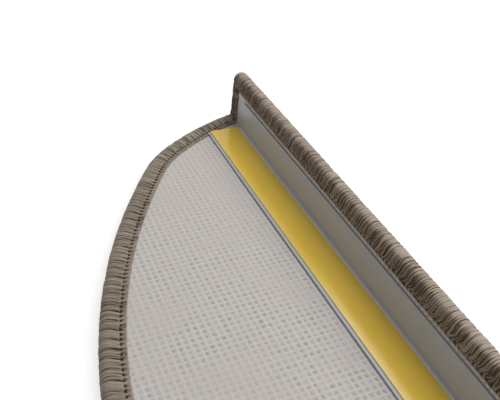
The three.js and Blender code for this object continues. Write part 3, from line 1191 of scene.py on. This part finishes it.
def pile_tufts(material):
    """The tufts of the pile's face, each turned and scaled at random."""
    x, s = tuft_places(np.random.default_rng(5))
    sideways = np.tile((1.0, 0.0, 0.0), (len(x), 1))
    points = placed_points("tuft_points", fold(x, s, TUFT_TOP), sideways, -up_direction(s))
    shape = smooth(tuft_shape())
    tree = Grower("tufts")
    shape_in = tree.given("Tuft", "Object", shape)
    height_in = tree.given("Tuft height", "Float", TUFT_TOP)
    width_in = tree.given("Tuft radius", "Float", TUFT_RADIUS)
    seed_in = tree.given("Seed", "Int", 3)
    material_in = tree.given("Material", "Material", material)
    tuft = tree.node("GeometryNodeObjectInfo", {0: shape_in}, output="Geometry")
    turn = tree.random(0.0, 2 * math.pi, seed_in)
    tall = height_in * tree.random(0.8, 1.0, seed_in + 1.0)
    wide = width_in * tree.random(0.85, 1.15, seed_in + 2.0)
    shade = tree.random(0.0, 1.0, seed_in + 3.0)
    copies = placed_copies(tree, tuft, turn, tree.vector(wide, wide, tall))
    tree.end(shaded(tree, copies, shade), material_in)
    tree.grow(points)
    return finished(points, "pile_tufts", shape)


PILE_EDGE = 3.3


def pile_body(material):
    """The body of the pile and its primary layer, between the tufts and the backing."""
    low, high = TUFT_TOP - 0.3, THICKNESS - BACKING_THICKNESS - 0.1
    rows = np.concatenate(
        [
            np.linspace(-TREAD_DEPTH + PILE_EDGE + 0.3, -0.5, 60),
            np.linspace(0, BEND_LENGTH, 10),
            np.linspace(BEND_LENGTH + 0.5, LIP_TOP - PILE_EDGE, 24),
        ]
    )
    x = width_at(rows, outline_inset(PILE_EDGE))
    section = ((-x, low), (x, low), (x, high), (-x, high))
    corners = np.stack([fold(side, rows, h) for side, h in section], axis=1)
    return smooth(swept("pile_body", corners, material), 40)


def outline_inset(inset):
    """The right half of the outline, moved inwards."""
    points, inward = outline()
    moved = points + inward * inset
    half = moved[: len(outline_right())]
    return half[half[:, 0] > 0]


PROFILE_WALL = 0.65
PROFILE_CORNER = 0.95
PROFILE_ROUND = 0.2
PROFILE_EDGE = 0.42
PROFILE_FILLET = 0.5
PROFILE_BEAD = 0.27
BEAD_WIDTH = 0.5
BEAD_SLOPE = 0.4
BEAD_ROUND = 0.12
PROFILE_ROWS = 60


def rounded(points, radii, steps=4):
    """A closed outline with each corner rounded by its own radius."""
    made = []
    count = len(points)
    for k, (point, radius) in enumerate(zip(points, radii)):
        before = np.array(points[k - 1], float) - point
        after = np.array(points[(k + 1) % count], float) - point
        before /= np.linalg.norm(before)
        after /= np.linalg.norm(after)
        for t in np.linspace(0, 1, steps + 1):
            start = np.array(point) + before * radius
            end = np.array(point) + after * radius
            made.append((1 - t) ** 2 * start + 2 * t * (1 - t) * np.array(point) + t**2 * end)
    return made


def angle_profile(material):
    """The angle, with a bead under the free edge of its leg on the tread."""
    places = np.linspace(*span("angle_profile", 0), PROFILE_ROWS)
    near, far = span("angle_profile", 1)
    low, high = span("angle_profile", 2)
    face = far - PROFILE_WALL
    floor = low + PROFILE_WALL
    foot = low - PROFILE_BEAD
    bead = [(near, foot), (near + BEAD_WIDTH, foot), (near + BEAD_WIDTH + BEAD_SLOPE, low)]
    corners = [*bead, (far, low), (far, high), (face, high), (face, floor), (near, floor)]
    ends = [PROFILE_CORNER, PROFILE_ROUND, PROFILE_EDGE, PROFILE_FILLET, PROFILE_EDGE]
    section = rounded(corners, [BEAD_ROUND] * len(bead) + ends)
    rows = [[(x, y, z) for y, z in section] for x in places]
    return smooth(swept("grey_angle", np.array(rows), material), 35)


def release_liner(material):
    """The liner, with faint waves from being laid by hand."""
    x, y, z = (span("release_liner", axis) for axis in range(3))
    length = np.linspace(x[0], x[1], 160)
    width = np.linspace(y[0], y[1], 9)
    gx, gy = np.meshgrid(length, width, indexing="ij")
    across = (gy - y[0]) / (y[1] - y[0])
    lift = 0.05 * np.sin(gx / 17) * np.sin(across * math.pi) + 0.04 * np.sin(gx / 41 + across * 2)
    wave = np.clip(lift, 0, None)
    upper = np.stack([gx, gy, z[1] + wave], axis=-1)
    lower = np.stack([gx, gy, z[0] + wave], axis=-1)
    return thin_sheet("yellow_liner", upper, lower, material)


def thin_sheet(name, upper, lower, material):
    """A closed thin sheet between two grids of points."""
    rows, columns = upper.shape[:2]
    top = np.arange(rows * columns).reshape(rows, columns)
    base = top + rows * columns
    faces = []
    for i in range(rows - 1):
        for j in range(columns - 1):
            faces.append((top[i, j], top[i + 1, j], top[i + 1, j + 1], top[i, j + 1]))
            faces.append((base[i, j], base[i, j + 1], base[i + 1, j + 1], base[i + 1, j]))
    loop = [(i, 0) for i in range(rows)]
    loop += [(rows - 1, j) for j in range(1, columns)]
    loop += [(i, columns - 1) for i in range(rows - 2, -1, -1)]
    loop += [(0, j) for j in range(columns - 2, 0, -1)]
    for a, b in zip(loop, loop[1:] + loop[:1]):
        faces.append((top[b], top[a], base[a], base[b]))
    points = np.concatenate([upper.reshape(-1, 3), lower.reshape(-1, 3)])
    return smooth(mesh_object(name, points, faces, material), 30)


# Camera, light and floor


def camera():
    """The photo's view, with the camera rolled a little."""
    sin_a, cos_a = math.sin(CAMERA_AZIMUTH), math.cos(CAMERA_AZIMUTH)
    sin_e, cos_e = math.sin(CAMERA_ELEVATION), math.cos(CAMERA_ELEVATION)
    back = Vector((sin_a * cos_e, -cos_a * cos_e, sin_e))
    right = Vector((cos_a, sin_a, 0))
    up = back.cross(right)
    right, up = (
        right * math.cos(CAMERA_ROLL) + up * math.sin(CAMERA_ROLL),
        up * math.cos(CAMERA_ROLL) - right * math.sin(CAMERA_ROLL),
    )
    data = bpy.data.cameras.new("camera")
    data.lens = FOCAL_PIXELS * SENSOR_WIDTH / IMAGE_WIDTH
    data.sensor_width = SENSOR_WIDTH
    data.clip_start = 0.01
    made = in_scene("camera", data)
    turned = Matrix((right, up, back)).transposed().to_4x4()
    turned.translation = (Vector(AIM) + back * CAMERA_DISTANCE) * MM
    made.matrix_world = turned
    bpy.context.scene.camera = made


def lamp(name, place, aim, width, height, power):
    """A rectangular lamp, with its place, aim and size in metres."""
    data = bpy.data.lights.new(name, "AREA")
    data.shape = "RECTANGLE"
    data.size = width
    data.size_y = height
    data.energy = power
    made = in_scene(name, data)
    made.location = place
    made.rotation_euler = (Vector(aim) - Vector(place)).to_track_quat("-Z", "Y").to_euler()


STUDIO_STRENGTH = 0.32
FLOOR_REACH = 2500


def lights():
    """One large softbox and an even surround, which the camera and reflections see as white."""
    lamp("softbox", (-0.1, 0.55, 0.95), (0, 0.02, 0), 1.3, 1.0, 12)
    world = bpy.data.worlds.new("studio")
    bpy.context.scene.world = world
    world.use_nodes = True
    nodes = Nodes(world.node_tree)
    seen = nodes.node("ShaderNodeLightPath", output="Is Camera Ray")
    glossy = nodes.node("ShaderNodeLightPath", output="Is Glossy Ray")
    strength = nodes.node(
        "ShaderNodeMapRange",
        {"Value": nodes.math("MAXIMUM", seen, glossy), "To_Min": STUDIO_STRENGTH, "To_Max": 1.0},
    )
    nodes.feed(nodes.tree.nodes["Background"], {"Color": WHITE, "Strength": strength})


def floor():
    """A wide floor under the pile, which isn't part of the object."""
    sides = ((-1, -1), (1, -1), (1, 1), (-1, 1))
    corners = [(FLOOR_REACH * x, FLOOR_REACH * y, 0) for x, y in sides]
    mesh_object("floor", corners, [(0, 1, 2, 3)], floor_finish())


def on_root(slot, node, *pieces):
    """Puts pieces on the one body, where they stand for a CAD node."""
    for piece in pieces:
        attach(piece, "root")
        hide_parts(node)


def paint(material, *nodes):
    """Gives CAD nodes their material."""
    for name in nodes:
        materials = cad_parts[name].data.materials
        materials.clear()
        materials.append(material)


def flat_area():
    """Area of the backing's flat cut, in square metres."""
    points, inward = outline()
    x, s = (points + inward * BACKING_EDGE).T
    return abs(float(np.dot(x, np.roll(s, -1)) - np.dot(s, np.roll(x, -1)))) / 2 * MM * MM


def edge_wraps():
    """The wraps on the tread and those on the lip, each stretch in its own shades: the lip's are a
    darker, warmer copy of the same yarn, painted shade for its inner side, with a paler painted
    highlight on the crest.
    """
    yarn = yarn_finish(
        "wrap_yarn", (YARN_DARK, YARN_MIDDLE, YARN_LIGHT), contrast=0.8, painted_crest_light=-0.15
    )
    lip_painted_shades = (LIP_YARN_SHADED_DARK, LIP_YARN_SHADED_MIDDLE, LIP_YARN_HIGHLIGHT)
    lip_yarn = yarn_finish("lip_yarn", lip_painted_shades, sheen=0.4, contrast=1.0, painted_crest_light=0.9)
    tread = yarn_wraps(
        "tread_wraps",
        yarn,
        on_tread,
        power=NOSE_POWER,
        seam_lean=SEAM_LEAN,
        drop=0,
        spread=0.1,
        shading=(0.6, 1.1, 0.2),
        fibre_spacing=FIBRE_SPACING,
    )
    lip = yarn_wraps(
        "lip_wraps",
        lip_yarn,
        on_lip,
        power=LIP_NOSE_POWER,
        seam_lean=LIP_SEAM_LEAN,
        drop=0.25,
        spread=0.15,
        # Painted shade: the heavy dark exponent darkens most strands on the lip.
        shading=(0.5, 3.0, -0.35),
        fibre_spacing=LIP_FIBRE_SPACING,
    )
    return tread, lip


def build():
    """Makes every piece and says what it stands for."""
    bpy.context.scene.view_settings.view_transform = "Standard"
    camera()
    lights()
    floor()
    tread_wraps, lip_wraps = edge_wraps()
    thread = yarn_finish("seam_thread", (YARN_DARK, YARN_MIDDLE, THREAD_LIGHT))
    bed = yarn_bed(seam_shadow_finish())
    chain = chain_body(thread)
    stitches = seam_stitches(thread)
    backing = woven_backing(backing_finish())
    pile = pile_finish()
    tufts = pile_tufts(pile)
    body = pile_body(pile)
    bar = angle_profile(plastic_finish())
    liner = release_liner(liner_finish())
    on_root("yarn", "overlock_yarn", tread_wraps, lip_wraps, bed)
    on_root("thread", "needle_thread", chain, stitches)
    on_root("backing", "woven_backing", backing)
    on_root("pile", "pile_carpet", tufts, body)
    on_root("profile", "angle_profile", bar)
    on_root("liner", "release_liner", liner)
    paint(tape_finish(), "nosing_tape")
    paint(glue_finish(), "tread_glue_strip", "lip_glue_strip")
    depth = (TREAD_DEPTH + LIP_TOP - 2 * BACKING_EDGE) * MM
    flat_area()


build()
